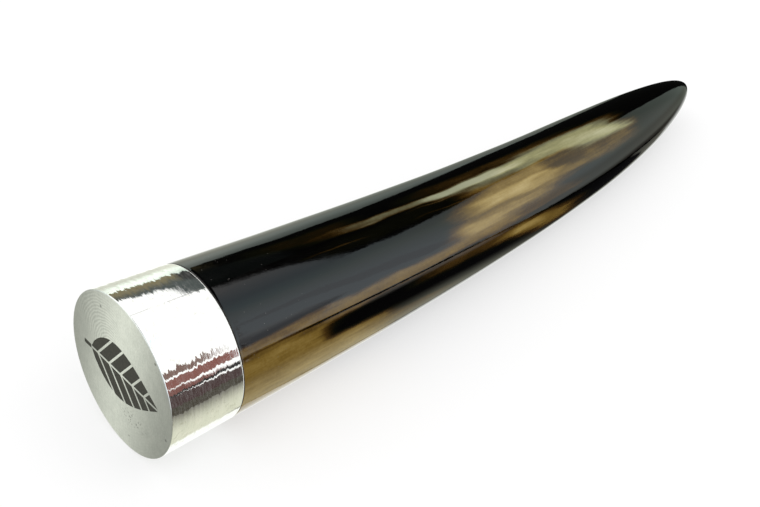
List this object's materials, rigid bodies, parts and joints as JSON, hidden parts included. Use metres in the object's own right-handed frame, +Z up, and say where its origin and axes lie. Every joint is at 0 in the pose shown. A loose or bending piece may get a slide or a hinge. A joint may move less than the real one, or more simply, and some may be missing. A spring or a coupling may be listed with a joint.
{
  "type": "pipe tamper",
  "caption": "Tobacco-pipe tamper: a solid, slightly curved polished horn handle bonded over a threaded stud to a turned aluminium foot with a flat tamping face.",
  "frame": {"origin": "middle of the footprint, on the table that the tamper lies on", "axes": "+Z up as it lies on its side, +X from the foot to the horn's tip, +Y the way the tip bends"},
  "size_m": [0.0828, 0.017, 0.017],
  "materials": {
    "horn": "mirror-polished natural horn, black to cream",
    "foot_metal": "polished side, fine-turned satin face",
    "stud_steel": "plain rolled thread",
    "resin": "cured clear amber",
    "black_fill": "matte"
  },
  "bodies": {
    "root": {"horn_handle": "horn", "foot": "foot_metal", "threaded_stud": "stud_steel", "stud_epoxy": "resin", "seam_epoxy": "resin", "mark_fill": "black_fill"}
  },
  "joints": []
}
